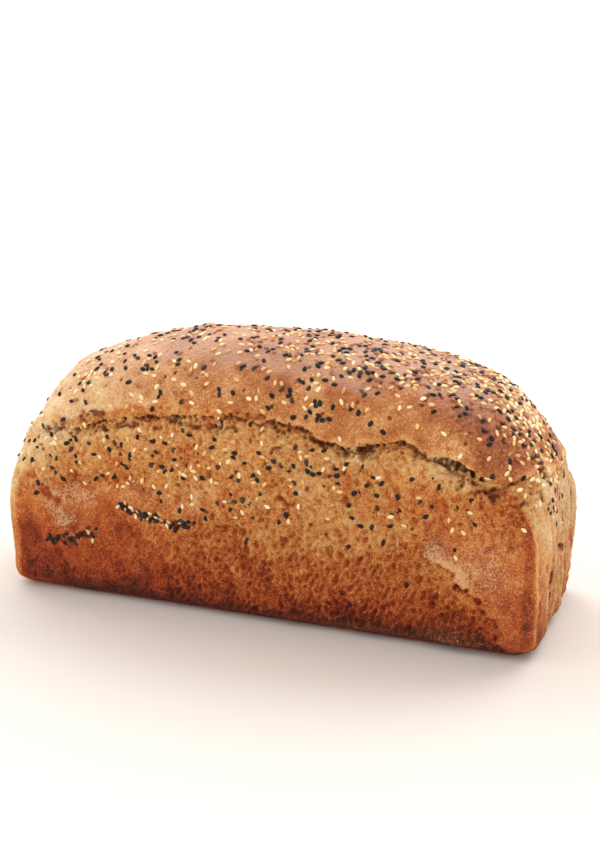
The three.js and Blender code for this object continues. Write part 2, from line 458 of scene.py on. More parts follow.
# %% Torn lumps and open bubbles
bubbly = pressed * patchy
lumps = bowls(pick(4200, shred * (1 - 0.7 * smooth) + 0.02 * under_lip, 23), 0.7, 1.6, 24)
bubbles = bowls(pick(14000, bubbly + 0.12 * shred, 25), 0.65, 1.6, 26)
big_bubbles = bowls(pick(130, bubbly * step(14, 26, z) + 0.3 * shred * sides, 27), 1.5, 2.8, 28)
net = 0.26 * netted * crests(4, 32, (1, 1, 1.4))
crumb = shred * (0.22 * crests(7, 29, (1, 1, 1.3)) + 0.25 * crests(2.6, 30) + 0.5 * lumps)
crumb += pressed * (0.5 + 0.35 * ripples(spots, 14, 31, (1, 1, 1.6)) + net)
crumb -= (pressed + 0.3 * shred) * (0.42 * patchy * bubbles) + 0.45 * big_bubbles
print("crumb: from", round(crumb.min(), 2), "to", round(crumb.max(), 2), "mm")

# %% [markdown]
# ## Unevenness and leather
#
# The whole loaf is a little uneven. Its top is slightly flattened, and its ends swell out below
# the crease. The dome's skin is tight, with a faint leather grain that is coarser in a shrunken
# spot at its front right.

# %% Unevenness and leather
shrunken = hill(np.hypot(x - 106, 1.3 * (above - 16)), 15) * dome
uneven = 0.5 * ripples(spots, 46, 33) + 0.22 * ripples(spots, 17, 34)
uneven -= 0.9 * dome * step(112, 126, z)
uneven += 3.1 * hill(z - 81, 8) * right_end
uneven += (2.2 * hill(z - 77, 5) - 2 * hill(z - 89, 4) - 1.6 * hill(z - 58, 16)) * left_end
leather = (0.05 + 0.1 * shrunken) * ripples(spots, 6, 35)
leather += (0.05 + 0.12 * shrunken) * ripples(spots, 2.8, 36)
leather *= dome + 0.8 * smooth
print("uneven: from", round(uneven.min(), 2), "to", round(uneven.max(), 2), "mm")

# %% [markdown]
# ## Seams and gashes
#
# A seam is a fold that closed on the seeds that lay in it, and a gash is a short open tear. Each
# is drawn as a path on its wall, along and up, and a gash also has a width and a depth.

# %% Seams and gashes
HIGH_SEAM = [(-70, 50), (-57, 48), (-47, 46), (-40, 46), (-33, 48)]
LOW_SEAM = [(-112, 29), (-104, 29), (-99, 31), (-95, 34), (-86, 35)]
FRONT_GASHES = [
    ([(-121, 62), (-116, 55), (-109, 50)], 2.4, 0.9),
    ([(98, 37), (102, 34)], 0.8, 1.2),
    ([(106, 31), (112, 27)], 0.8, 1.2),
    ([(14, 66), (18, 63)], 1.4, 1.6),
]
RIGHT_GASHES = [
    ([(-27, 87), (-24, 82)], 1.4, 2.0),
    ([(-34, 78), (-33, 74)], 0.9, 1.4),
    ([(-11, 70), (-12, 60)], 0.4, 0.7),
    ([(-7, 42), (0, 41), (6, 39)], 1.8, 2.6),
    ([(5, 58), (4, 51)], 0.9, 1.4),
    ([(-13, 38), (-16, 34), (-17, 29)], 1.7, 2.2),
    ([(-24, 31), (-26, 27)], 0.9, 1.4),
    ([(-18, 21), (-20, 15), (-19, 10)], 1.5, 1.8),
    ([(17, 62), (15, 51)], 0.4, 0.7),
    ([(28, 46), (26, 33)], 0.4, 0.7),
]
LEFT_GASHES = [
    ([(-19, 64), (-17, 56)], 0.6, 1.0),
    ([(-20, 40), (-18, 35)], 0.9, 1.2),
    ([(6, 72), (4, 61)], 0.5, 0.8),
    ([(7, 33), (5, 20)], 0.5, 0.8),
    ([(2, 44), (7, 41)], 0.9, 1.4),
    ([(27, 50), (25, 40)], 0.6, 0.8),
]
wander = 0.8 * ripples(spots, 6, 43)
high_seam = path_distance(HIGH_SEAM, x, z) + wander
low_seam = path_distance(LOW_SEAM, x, z) + wander
seams = (hill(high_seam, 1.5) + hill(low_seam, 1.5)) * front
gashes = front * sum(
    depth * hill(path_distance(path, x, z) + wander, width) for path, width, depth in FRONT_GASHES
)
frayed = 0.5 * ripples(spots, 2.5, 57) + 0.6 * ripples(spots, 7, 58)
for end, paths in ((right_end, RIGHT_GASHES), (left_end, LEFT_GASHES)):
    for path, width, depth in paths:
        gap = path_distance(path, y, z) + frayed
        gashes = gashes + depth * step(width + 0.7, 0.2 * width, gap) * end
print("deepest gash:", round(float(gashes.max()), 1), "mm")

# %% [markdown]
# ## The ends
#
# The dough met itself at the tin's ends in upright folds, floury and pale. On the right end a
# smooth strip runs down beside the front corner. That corner is crisper than the solid's
# rounding, so the skin is pushed out wherever it faces neither wall squarely.

# %% Folded ends and the crisp corner
ROUNDING = 10  # the radius of the corner that is squared up
folds_up = 0.35 * ripples(spots, 9, 51, (1, 1, 7)) + 0.2 * crests(5, 52, (1, 1, 5))
folds_up += 0.18 * crests(2.6, 54, (1, 1, 4))
strip_side = y + 13 + 18 * step(42, 26, z) + 1.5 * ripples(spots, 14, 53, (1, 1, 2))
strip = step(2, -2, strip_side) * right_end * step(84, 74, z)
squarely = np.maximum(np.abs(outward[:, 0]), np.abs(outward[:, 1]))
upright = step(88, 66, z) * step(2, 10, z) * step(0.3, 0.1, outward[:, 2])
crisp = ROUNDING * (1 / np.maximum(squarely, 0.7) - 1) * upright
crisp *= 0.3 * step(-60, 0, x) + 0.6 * front * step(0, 50, x)
print("the corner is pushed out by up to", round(float(crisp.max()), 1), "mm")

# %% [markdown]
# ## Where seeds fell out
#
# Some seeds were rubbed off and left a seed-shaped dent, whose floor is darkened later with painted
# shade.

# %% Dents of lost seeds
SEED_LENGTH, SEED_WIDTH, SEED_THICKNESS = 3.1, 2.1, 1.15


def dents(middles, seed):
    """How deep each point lies in seed-shaped dents, from 0 to 1."""
    dice = np.random.default_rng(seed)
    depth = np.zeros(len(spots))
    for middle in middles:
        side = np.cross(outward[middle], dice.normal(size=3))
        side /= np.linalg.norm(side)
        size = dice.uniform(0.75, 1.15) / 2
        half_length, half_width = SEED_LENGTH * size, SEED_WIDTH * size
        found = near.find_range(spots[middle] / STRETCH, half_length)
        numbers = [number for _, number, _ in found]
        gaps = spots[numbers] - spots[middle]
        along = gaps @ side
        across = np.linalg.norm(gaps - along[:, None] * side, axis=1)
        reach = np.hypot(along / half_length, across / half_width)
        depth[numbers] = np.maximum(depth[numbers], 1 - np.minimum(reach, 1) ** 2)
    return depth


on_crown = pick(150, ball((66, -24, 122), (40, 16, 12)) + 0.12 * dome, 61)
on_tears = pick(110, shred * sides * (1 - 0.7 * sheet), 62)
on_walls = pick(14, pressed * sides * step(30, 60, z), 63)
lost = np.concatenate([on_crown, on_tears, on_walls])
fallen = dents(lost, 64)
print("dents of lost seeds:", len(lost))

# %% [markdown]
# ## Apply the relief
#
# All the strokes are added up, and the points move once. The sheet stands a little proud, with a
# groove along its edge. The underside stays flat, because the loaf stands on it, and the lip sags
# a little over the tear.

# %% Move the points
SAG = 1.6
FLAT_BELOW, FULL_ABOVE = 1.5, 7  # heights between which the relief fades in
relief += uneven + crumb + leather + crisp
relief += 0.2 * sheet - 0.3 * hill(sheet_edge + 0.9, 0.8) * front * step(54, 44, z)
relief -= 1.3 * seams + gashes + 0.7 * fallen
relief += ends * under_lip * folds_up * (1 - 0.85 * strip)
relief *= step(FLAT_BELOW, FULL_ABOVE, z)
moved = spots + outward * relief[:, None]
moved[:, 2] -= SAG * opening * hill(lip - 0.6, 2.2)
moved[:, 2] = np.maximum(moved[:, 2], 0)
crust.data.vertices.foreach_set("co", (moved * MM).astype(np.float32).ravel())
crust.data.update()
print("relief: from", round(relief.min(), 2), "to", round(relief.max(), 2), "mm")

# %% [markdown]
# The eye reads crumb mostly by its hollows, which look darker and redder than the ridges around
# them, so this is painted into the colour as well: painted shade in the hollows and painted light
# on the ridges. How far a point stands out from its surroundings is its relief less the mean
# relief near it, found by passing each point's value on to its neighbours a few times.

# %% Find what stands out
PASSES = 14
links = np.empty(len(crust.data.edges) * 2, np.int32)
crust.data.edges.foreach_get("vertices", links)
one, other = links.reshape(-1, 2).T
count = np.bincount(one, minlength=len(spots)) + np.bincount(other, minlength=len(spots))


def spread_out(values, times):
    for _ in range(times):
        total = np.bincount(one, values[other], len(spots))
        total += np.bincount(other, values[one], len(spots))
        values = total / count
    return values


raised = relief - spread_out(relief, PASSES)
print("stands out: from", round(raised.min(), 2), "to", round(raised.max(), 2), "mm")
print("spread in the pressed part:", round(float(raised[pressed > 0.8].std()), 2), "mm")

# %% [markdown]
# ## Browning
#
# A crust has one pigment, and more of it wherever the oven's heat reached: from cream through
# gold, orange-brown and red-brown to nearly black at the foot, where the dough lay on the hot
# tin, and where painted shade also darkens it as the loaf meets the floor. So each point gets one
# number for its browning, which also carries some painted light and shade, and one for each other
# thing that shows: the dome's skin, its crown and its painted sheen, crumb, highs and lows with
# their painted shade and light, holes with their painted shade, and flour. The material turns
# those into colour.
#
# The walls come first. They brown from the crease down, and the ends and the large sheet have a
# browning of their own.

# %% Browning of the walls
floury_folds = np.clip(0.55 + 0.5 * ripples(spots, 6, 76, (1, 1, 5)), 0, 1)
# The lowest terms below darken the foot: partly the tin's browning, partly painted shade where the loaf
# meets the floor.
end_bake = 0.44 + 0.12 * step(56, 36, z) - 0.03 * step(-5, 15, y)
end_bake += 0.1 * step(34, 8, z) + 0.2 * step(8, 0, z)
end_bake += 0.13 * (0.5 - floury_folds) * (1 - strip) + 0.04 * ripples(spots, 7, 77, (1, 1, 3))
sheet_bake = 0.61 + 0.05 * step(42, 24, z) + 0.3 * step(8, 0, z)
wall_bake = 0.45 + 0.22 * step(60, 34, z) + 0.15 * step(34, 8, z) + 0.28 * step(12, 1, z)
wall_bake = mixed(wall_bake, end_bake, ends)
wall_bake += 0.06 * strip * step(46, 30, z) - 0.05 * strip * step(42, 52, z)
wall_bake += 0.06 * step(10, -60, x) * step(62, 46, z)
wall_bake = mixed(wall_bake, sheet_bake, sheet)
print("walls: browned from", round(wall_bake.min(), 2), "to", round(wall_bake.max(), 2))

# %% [markdown]
# The upright corners brown in their own way. On the right the edge itself is pale, partly paler
# crust and partly a painted highlight where the corner catches the light, with a darker strip
# beside it on the front. On the left the whole corner is paler, with the shoulder above it and the
# foot below it. The underside is an even brown, with faint blotches.

# %% Browning of the corners and the underside
turned = np.degrees(np.arctan2(np.abs(outward[:, 0]), -outward[:, 1]))  # 0 is the front, 90 an end
right_half = step(0, 20, x) * step(80, 66, z)
# Partly a painted highlight along the right corner's edge.
pale_edge = step(38, 46, turned) * step(64, 56, turned) * right_half
dark_beside = step(14, 26, turned) * step(44, 38, turned) * right_half
pale_corner = step(6, 22, turned) * step(88, 70, turned) * step(-20, -40, x) * step(80, 66, z)
pale_foot = step(-92, -116, x) * step(9, 4, z) * (1 - back)
pale_shoulder = hill(x + 136, 20) * step(64, 84, z) * (1 - back)
pale_height = step(30, 60, x) * step(74, 84, z)
flushed = front * hill(x + 118, 13) * hill(z - 22, 15)
wall_bake += 0.13 * dark_beside - 0.12 * pale_edge - 0.33 * pale_shoulder + 0.02 * flushed
under = step(-0.6, -0.95, outward[:, 2])
under_bake = 0.74 + 0.06 * ripples(spots, 14, 78) + 0.05 * ripples(spots, 5, 79)
wall_bake = mixed(wall_bake, under_bake, under)
wall_bake -= 0.05 * pale_height + 0.28 * pale_corner + 0.24 * pale_foot
print("underside: browned by", round(float(wall_bake[under > 0.9].mean()), 2))

# %% [markdown]
# The dome browned most on its crown, down to a wandering line. Its right shoulder is paled as a
# painted highlight, where the light from behind glares on it, and its left third is paler, partly
# as painted light from behind. Just under the lip a thin band of painted shade follows the
# overhang, and the insides of gashes and seams are browned a little as painted shade.

# %% Browning of the dome
crown_line = 21 - 14 * step(75, 118, x) - 8 * back + 3 * ripples(spots, 20, 73)
crown = dome * step(-8, 8, above - crown_line)
dome_bake = 0.55 + 0.08 * crown * step(-120, -10, x) + 0.07 * shrunken + 0.05 * step(60, 100, x)
# Painted highlight: the right shoulder is paled where the light from behind glares.
dome_bake -= 0.38 * ball((122, 0, 111), (19, 30, 13))
# Partly painted light: the left third of the dome is paled.
dome_bake -= (0.2 * step(-48, -84, x) + 0.08 * step(-84, -125, x)) * step(30, -30, y)
# Painted shade: a thin band just under the dome's overhanging lip is browned.
lip_shade = hill(lip + 1.5, 2.6) * np.clip(0.5 + 0.6 * ripples(spots, 7, 74), 0, 1.2) * sides
lip_shade *= (1 - 0.9 * left_half) * (1 - 0.6 * step(-30, 20, x))
cloudy = 0.038 * ripples(spots, 30, 71) + 0.03 * ripples(spots, 9, 72)
browning = mixed(wall_bake, dome_bake, dome) + 0.12 * lip_shade + cloudy
# Painted shade: the depths of gashes and seams are browned.
browning += 0.1 * np.clip(gashes, 0, 1.5) + 0.1 * seams - 0.02 * left_sheet
print("dome: browned by", round(float(browning[dome > 0.9].mean()), 2))

# %% [markdown]
# The last dark and pale spots are put in one by one, each a soft round touch. They are partly
# uneven baking and partly painted light and shade: pale touches along the crease lift the shade
# under the lip, dark ones along the foot add painted shade there, and pale ones on the dome add
# to the painted sheen. Each touch has a middle, a spread and an amount, which is below 0 for a pale
# one. On the front wall the middle and the spread are given along the wall and up.

# %% Touches
def touches(marks, weight):
    """The sum of some touches, each spread out by a weight: disc on a wall, ball elsewhere."""
    return sum(amount * weight(middle, spread) for middle, spread, amount in marks)


def paint(piece, name, values):
    """Keep a number for each point of a piece, for its material to read by name."""
    layer = piece.data.attributes.new(name, "FLOAT", "POINT")
    layer.data.foreach_set("value", values.astype(np.float32))


FRONT_TOUCHES = [
    ((-103, 85), (18, 6), -0.36),
    ((-121, 78), (12, 12), -0.18),
    ((-55, 91), (18, 5), -0.08),
    ((-98, 60), (25, 9), 0.18),
    ((-44, 57), (13, 9), 0.1),
    ((-13, 62), (7, 13), 0.25),
    ((-77, 34), (13, 9), -0.1),
    ((-8, 38), (14, 8), -0.08),
    ((33, 47), (17, 9), -0.12),
    ((58, 84), (11, 6), 0.13),
    ((54, 55), (6, 6), 0.08),
    ((101, 94), (14, 10), -0.3),
    ((88, 70), (12, 8), -0.04),
    ((122, 57), (14, 16), -0.06),
    ((84, 8), (32, 8), 0.18),
    ((134, 76), (9, 8), 0.12),
    ((124, 81), (9, 7), 0.24),
    ((44, 91), (10, 6), -0.22),
    ((3, 97), (12, 5), -0.13),
    ((-28, 95), (14, 5), -0.1),
    ((14, 90), (10, 7), -0.08),
    ((14, 71), (8, 7), 0.08),
    ((92, 54), (8, 7), 0.08),
    ((72, 86), (9, 6), -0.1),
    ((14, 5), (24, 5), 0.08),
]
DOME_TOUCHES = [
    ((-44, -28, 120), (18, 9, 6), -0.3),
    ((-61, -42, 101), (12, 8, 6), -0.24),
    ((-4, -43, 108), (9, 8, 5), -0.1),
    ((85, -15, 121), (9, 10, 5), -0.2),
    ((70, -35, 113), (7, 8, 5), 0.08),
    ((98, -42, 99), (12, 9, 7), -0.2),
    ((-20, -8, 131), (10, 9, 5), -0.14),
    ((30, -20, 125), (13, 12, 9), 0.15),
    ((112, -32, 104), (8, 9, 6), 0.08),
    ((119, -14, 111), (8, 10, 6), 0.1),
    ((-87, -32, 107), (9, 9, 6), 0.05),
]
browning += touches(FRONT_TOUCHES, disc) * front * (1 - dome)
browning += touches(DOME_TOUCHES, ball) * dome
paint(crust, "browning", np.clip(browning, 0, 1))
print("touches:", len(FRONT_TOUCHES), "on the front wall and", len(DOME_TOUCHES), "on the dome")

# %% [markdown]
# The dome's tight skin is redder and smoother than the walls, and the ends share a good part of
# that. Along its top, and most on its right shoulder, a pale painted sheen stands in for the
# highlight of the light from behind.

# %% Skin, crown and sheen
# Spots of painted sheen: middle, spread, amount.
SHINES = [
    ((110, -2, 118), (28, 20, 13), 1.3),
    ((-88, -24, 118), (34, 22, 16), 0.35),
    ((86, -18, 120), (16, 12, 7), 0.5),
]
end_skin = ends * under_lip * (1 - 0.7 * strip * step(58, 46, z))
sheen = (0.6 + 0.4 * step(10, 50, x)) * step(117, 131, z + 2 * ripples(spots, 18, 75))
sheen += touches(SHINES, ball)
paint(crust, "dome", np.clip(dome + 0.55 * end_skin, 0, 1))
paint(crust, "crown", crown)
paint(crust, "sheen", dome * np.clip(sheen, 0, 1))
print("the sheen covers", round(100 * float((sheen * dome > 0.5).mean())), "% of the skin")

# %% [markdown]
# Crumbly parts get bubbles and fibres too fine for the mesh. How far a point stands out is kept
# with 0.5 for level, and squeezed, so that a few deep pits don't use up the whole range; the
# material turns it into painted shade in the pits and painted light on the crests. Bare crumb lies
# in the open tear, and the holes, everything that goes deep into the crust, get painted shade.

# %% Crumb, highs and lows, and holes
crumbly = pressed * netted * (0.6 + 0.4 * step(8, 44, z)) + 0.8 * under
crumbly += (0.4 + 0.3 * step(-30, 10, x)) * shred + 0.5 * ends * under_lip * (1 - 0.8 * strip)
# Painted shade in the pits and painted light on the crests.
relief_shade = np.where(raised > 0, 0.3 * np.tanh(2.4 * raised), 0.5 * np.tanh(1.8 * raised))
relief_shade *= 1 - 0.3 * shred - 0.1 * pressed * step(40, 80, x)
# Painted shade: holes, cracks, seams, gashes and dents are darkened inside.
holes = fallen + 0.8 * stitches + 0.4 * caves + 0.95 * cracks + 0.5 * pinholes + 0.5 * seams
holes += step(0.2, 2.2, gashes) * (0.3 + 0.5 * ends)
paint(crust, "crumbly", np.clip(crumbly, 0, 1) * (1 - 0.5 * smooth))
paint(crust, "raised", 0.5 + relief_shade)
paint(crust, "bare", np.clip(cavity * (0.15 + 1.1 * opening), 0, 1))
paint(crust, "holes", np.clip(holes, 0, 1))
print("holes cover", round(100 * float((holes > 0.5).mean()), 1), "% of the skin")

# %% [markdown]
# Flour dusts the sheets, the folds of the ends, a few spots along the foot, and two streaks at the
# far left of the front. A gash opened after the flouring, so it has none.

# %% Flour
STREAKS = [[(-118, 58), (-110, 47), (-104, 41)], [(-112, 52), (-100, 55), (-88, 56)]]
SHEET_FLOUR = [((104, -50, 44), (16, 20, 12), 0.3), ((118, -50, 42), (12, 20, 16), 0.3)]
WALL_FLOUR = [
    ((60, -50, 5), (40, 9, 3), 0.25),
    ((100, -50, 8), (16, 9, 6), 0.3),
    ((-31, -50, 64), (5, 9, 6), 0.9),
]
streaks = np.minimum(*[path_distance(path, x, z) for path in STREAKS]) + wander
edge_flour = 0.6 * hill(sheet_edge - 3.5, 5) * step(78, 90, x) * step(112, 102, x)
end_flour = (0.2 + 0.7 * floury_folds) * (0.4 + 0.6 * step(36, 62, z))
flour = 0.33 * left_sheet + 0.4 * pink_sheet + 0.4 * back_sheet
flour += sheet * (0.2 + edge_flour + touches(SHEET_FLOUR, ball))
flour += end_flour * ends * step(4, 24, z) * step(-2, -10, lip)
flour += touches(WALL_FLOUR, ball) + 0.55 * front * hill(streaks, 5)
flour *= 1 - np.clip(gashes, 0, 1)
paint(crust, "flour", np.clip(flour, 0, 1))
print("flour lies on", round(100 * float((flour > 0.2).mean())), "% of the skin")

# %% [markdown]
# ## One sesame seed
#
# A sesame seed is a flat teardrop. It starts as a small ball with its poles along the seed; the
# rings towards one pole are drawn in to a point, and the whole is flattened. It has only a few
# dozen faces, because there are hundreds of seeds.

# %% Model a seed
TAPER = [(0.1, 0.9), (0.3, 0.72)]  # beyond this place along the seed, drawn in to this share
bpy.ops.object.select_all(action="DESELECT")
bpy.ops.mesh.primitive_uv_sphere_add(segments=8, ring_count=6, radius=0.5, rotation=(0, math.pi / 2, 0))
seed = bpy.context.object
bpy.ops.object.transform_apply(location=False, rotation=True, scale=False)
for start, squeeze in TAPER:
    bpy.ops.object.mode_set(mode="EDIT")
    bpy.ops.mesh.select_all(action="DESELECT")
    bpy.ops.object.mode_set(mode="OBJECT")
    for vertex in seed.data.vertices:
        vertex.select = vertex.co.x > start
    bpy.ops.object.mode_set(mode="EDIT")
    bpy.ops.transform.resize(value=(1, squeeze, squeeze), center_override=(0, 0, 0))
    bpy.ops.object.mode_set(mode="OBJECT")
seed.scale = (SEED_LENGTH * MM, SEED_WIDTH * MM, SEED_THICKNESS * MM)
bpy.ops.object.transform_apply(location=False, rotation=False, scale=True)
seed_points = places(seed) * MM
seed_faces = [tuple(face.vertices) for face in seed.data.polygons]
bpy.data.objects.remove(seed)
print("a seed has", len(seed_faces), "faces")

# %% [markdown]
# ## Where the seeds lie
#
# The loaf was rolled in seeds before it was baked, so they lie thick on the crown, in drifts,
# and thinner on the walls, half sunk in the dough. Each handful has a middle and a spread in
# millimetres, and its numbers of pale and of black seeds.

# %% Scatter the seeds
HANDFULS = [
    ((10, 0, 130), (100, 34, 26), 230, 130),
    ((88, -10, 118), (32, 20, 16), 130, 34),
    ((88, 20, 118), (32, 20, 16), 80, 24),
    ((56, -22, 123), (20, 12, 8), 20, 20),
    ((10, -16, 131), (34, 14, 8), 44, 16),
    ((22, -38, 115), (18, 7, 7), 6, 13),
    ((37, -42, 109), (9, 4, 5), 4, 9),
    ((-45, -8, 134), (8, 8, 4), 4, 12),
    ((-66, -33, 116), (30, 12, 12), 38, 20),
    ((-20, -40, 110), (52, 10, 9), 26, 14),
    ((-100, -26, 112), (16, 16, 14), 14, 8),
    ((128, -22, 98), (12, 14, 14), 80, 20),
    ((122, -14, 106), (12, 14, 10), 60, 10),
    ((108, -4, 117), (15, 14, 8), 64, 4),
    ((40, -8, 131), (60, 16, 6), 50, 20),
    ((112, -42, 94), (14, 6, 10), 9, 2),
    ((-34, -48, 79), (66, 10, 11), 62, 50),
    ((44, -48, 77), (48, 10, 11), 14, 26),
    ((-108, -46, 72), (20, 14, 13), 14, 16),
    ((-32, -48, 64), (66, 10, 10), 34, 26),
    ((60, -50, 58), (50, 10, 16), 8, 14),
    ((0, 48, 78), (96, 10, 15), 90, 80),
    ((-10, 36, 116), (90, 12, 12), 60, 40),
    ((138, -6, 76), (8, 24, 14), 34, 18),
    ((-136, 0, 80), (10, 30, 18), 40, 28),
]
SEAM_SEEDS = [(high_seam, 20, 30), (low_seam, 4, 20)]
APART = 1.9  # millimetres between the middles of two seeds
APART_IN_SEAM = 1.4


def scatter(count, weight, apart, seed, taken):
    """Like pick, but the points keep apart from each other and from those already taken."""
    kept = []
    around = [spots[number] for number in taken]
    for number in pick(4 * count + 20, weight, seed):
        if len(kept) == count:
            break
        if around and np.min(np.sum((np.array(around) - spots[number]) ** 2, axis=1)) < apart**2:
            continue
        kept.append(number)
        around.append(spots[number])
    return kept


pale_seeds, black_seeds = [], []
for number, (middle, spread, pale, black) in enumerate(HANDFULS):
    weight = ball(middle, spread) * (1 - 0.7 * cavity) * step(4, 10, z)
    black_seeds += scatter(black, weight, APART, 100 + number, pale_seeds + black_seeds)
    pale_seeds += scatter(pale, weight, APART, 200 + number, pale_seeds + black_seeds)
for number, (distance, pale, black) in enumerate(SEAM_SEEDS):
    weight = hill(distance, 1.9) * front
    black_seeds += scatter(black, weight, APART_IN_SEAM, 300 + number, pale_seeds + black_seeds)
    pale_seeds += scatter(pale, weight, APART_IN_SEAM, 400 + number, pale_seeds + black_seeds)
print("seeds:", len(pale_seeds), "pale,", len(black_seeds), "black")

# %% [markdown]
# Each seed is laid on the crust where a line from outside meets it, flat side out, with a small
# tilt, and turned at random. On the dome it sits in the crust by a third; in the torn crumb and
# on the walls it is sunk deeper. Pale seeds are more often toasted where the crust is brown. All
# the seeds of a kind are one mesh.

# %% Lay the seeds on the crust
REACH = 12 * MM  # how far outside the crust the line starts
TILT = 0.14
PROUD = 0.28  # how far out a seed's middle lies, as a share of its thickness, before it is sunk
SUNK_ON_DOME = (0, 0.25)
SUNK_BELOW = (0.1, 0.45)
SIZES = (0.84, 1.06)
SLIMNESS = (0.88, 1.04)
TOASTS_FROM, TOASTS_FULLY = 0.45, 0.65  # how brown the crust is where its seeds are toasted


def triangles(piece):
    piece.data.calc_loop_triangles()
    return len(piece.data.loop_triangles)


def lay_seeds(name, middles, plump, slim, toasting, dice_seed):
    """One mesh of seeds. plump and slim scale them, and toasting is the most the oven did."""
    dice = np.random.default_rng(dice_seed)
    points, faces, shade = [], [], []
    for middle in middles:
        out = Vector(outward[middle])
        start = Vector(moved[middle] * MM) + out * REACH
        hit, place, normal, _ = crust.ray_cast(start, -out, distance=2 * REACH)
        if not hit:
            continue
        up = (out * 0.75 + normal * 0.25 + Vector(dice.normal(0, TILT, 3))).normalized()
        side = up.orthogonal().normalized()
        side.rotate(Quaternion(up, dice.uniform(0, 2 * math.pi)))
        axes = np.array([side, up.cross(side), up]).T
        sunk = dice.uniform(*(SUNK_ON_DOME if dome[middle] > 0.5 else SUNK_BELOW))
        size = plump * dice.uniform(*SIZES) * np.array([1, slim * dice.uniform(*SLIMNESS), 1])
        first = len(points) * len(seed_points)
        centre = np.array(place) + np.array(up) * (PROUD - sunk) * SEED_THICKNESS * MM
        points.append(centre + (seed_points * size) @ axes.T)
        faces += [tuple(corner + first for corner in face) for face in seed_faces]
        browned = (browning[middle] - TOASTS_FROM) / (TOASTS_FULLY - TOASTS_FROM)
        browned = np.clip(browned, 0, 1)
        heat = toasting * max(browned, 0.5 * under_lip[middle])
        shade.append(np.full(len(seed_points), dice.uniform(0, 1) ** (1 - heat)))
    mesh = bpy.data.meshes.new(name)
    mesh.from_pydata(np.concatenate(points).tolist(), [], faces)
    piece = bpy.data.objects.new(name, mesh)
    bpy.context.scene.collection.objects.link(piece)
    paint(piece, "toast", np.concatenate(shade))
    mesh.shade_smooth()
    print(name, len(points), "seeds,", triangles(piece), "triangles")
    return piece


pale_piece = lay_seeds("pale_sesame", pale_seeds, 1.08, 0.9, 0.6, 81)
black_piece = lay_seeds("black_sesame", black_seeds, 1.12, 1.04, 0, 82)

# %% [markdown]
# ## Four quarters
#
# The fine crumb needs more faces than one mesh should carry, which is 200,000 triangles, so the
# crust is cut into quarters: once lengthwise under the seeds of the crown, and once across, on a
# slant. The cuts are closed, and their rims are marked sharp, so that the closing faces don't bend
# the shading of the crust beside them.

# %% Cut the crust
LENGTHWISE = ((0, 0, 0), (0, 1, 0))  # a plane's point, in metres, and its normal
ACROSS = ((0, 0, 0.07), (1, 0, 0.25))


def cut(piece, plane, names):
    """Two closed pieces instead of one: what lies behind a plane, and what lies before it."""
    point, normal = plane
    parts = []
    for name, behind in zip(names, (True, False)):
        parts.append(duplicate(piece, name))
        bpy.ops.object.mode_set(mode="EDIT")
        bpy.ops.mesh.select_all(action="SELECT")
        bpy.ops.mesh.bisect(
            plane_co=point, plane_no=normal, use_fill=True, clear_outer=behind, clear_inner=not behind
        )
        bpy.ops.mesh.mark_sharp()
        bpy.ops.object.mode_set(mode="OBJECT")
    bpy.data.objects.remove(piece)
    return parts


crust.data.shade_smooth()
front_half, back_half = cut(crust, LENGTHWISE, ("crust_front", "crust_back"))
quarters = cut(front_half, ACROSS, ("crust_front_left", "crust_front_right"))
quarters += cut(back_half, ACROSS, ("crust_back_left", "crust_back_right"))
for quarter in quarters:
    print(quarter.name, triangles(quarter), "triangles")

# %% [markdown]
# ## Materials
#
# Node trees are easier to read in code when a node and what feeds it are one line. `node` adds
# one, sets its options, and fills each input with a value or with the output that feeds it. The
# other helpers each add one common kind of node.

# %% Helpers for materials
def rgb(red, green, blue):
    """A colour as painters' programs write it, 0 to 255, as the linear light that Blender mixes."""
    shares = [value / 255 for value in (red, green, blue)]
    return (*[s / 12.92 if s <= 0.04045 else ((s + 0.055) / 1.055) ** 2.4 for s in shares], 1)


def node(tree, kind, inputs=None, **settings):
    new = tree.nodes.new(kind)
    for name, value in settings.items():
        setattr(new, name, value)
    for socket, value in (inputs or {}).items():
        if isinstance(value, bpy.types.NodeSocket):
            tree.links.new(value, new.inputs[socket])
        else:
            new.inputs[socket].default_value = value
    return new


def calc(tree, operation, a, b=0.0, c=0.0, clamp=False):
    inputs = {0: a, 1: b, 2: c}
    return node(tree, "ShaderNodeMath", inputs, operation=operation, use_clamp=clamp).outputs[0]


def vector_calc(tree, operation, a, b):
    return node(tree, "ShaderNodeVectorMath", {0: a, 1: b}, operation=operation).outputs[0]


def centred(tree, value):
    """How far a value that runs from 0 to 1 lies above its middle, or below it."""
    return calc(tree, "SUBTRACT", value, 0.5)


def blend(tree, share, a, b):
    inputs = {0: share, 6: a, 7: b}
    return node(tree, "ShaderNodeMix", inputs, data_type="RGBA").outputs[2]


def ramp(tree, share, stops):
    """A colour ramp from (place, colour) stops."""
    new = node(tree, "ShaderNodeValToRGB", {0: share})
    while len(new.color_ramp.elements) < len(stops):
        new.color_ramp.elements.new(0.5)
    for element, (place, colour) in zip(new.color_ramp.elements, stops):
        element.position, element.color = place, colour
    return new.outputs[0]


def painted(tree, name):
    return node(tree, "ShaderNodeAttribute", attribute_name=name).outputs["Fac"]


def start_material(name):
    material = bpy.data.materials.new(name)
    material.use_nodes = True
    tree = material.node_tree
    return material, tree, tree.nodes["Principled BSDF"]


print("a middle grey, mixed:", tuple(round(share, 3) for share in rgb(128, 128, 128)))

# %% [markdown]
# Grain and flour could come back in any baked finish, so each is a node group, built once. *Grain*
# gives a fine and a coarse mottling from Object coordinates. *Dusting* turns a share of flour into
# grains that clump, gather along a web of thin lines, and thin out towards the edge.

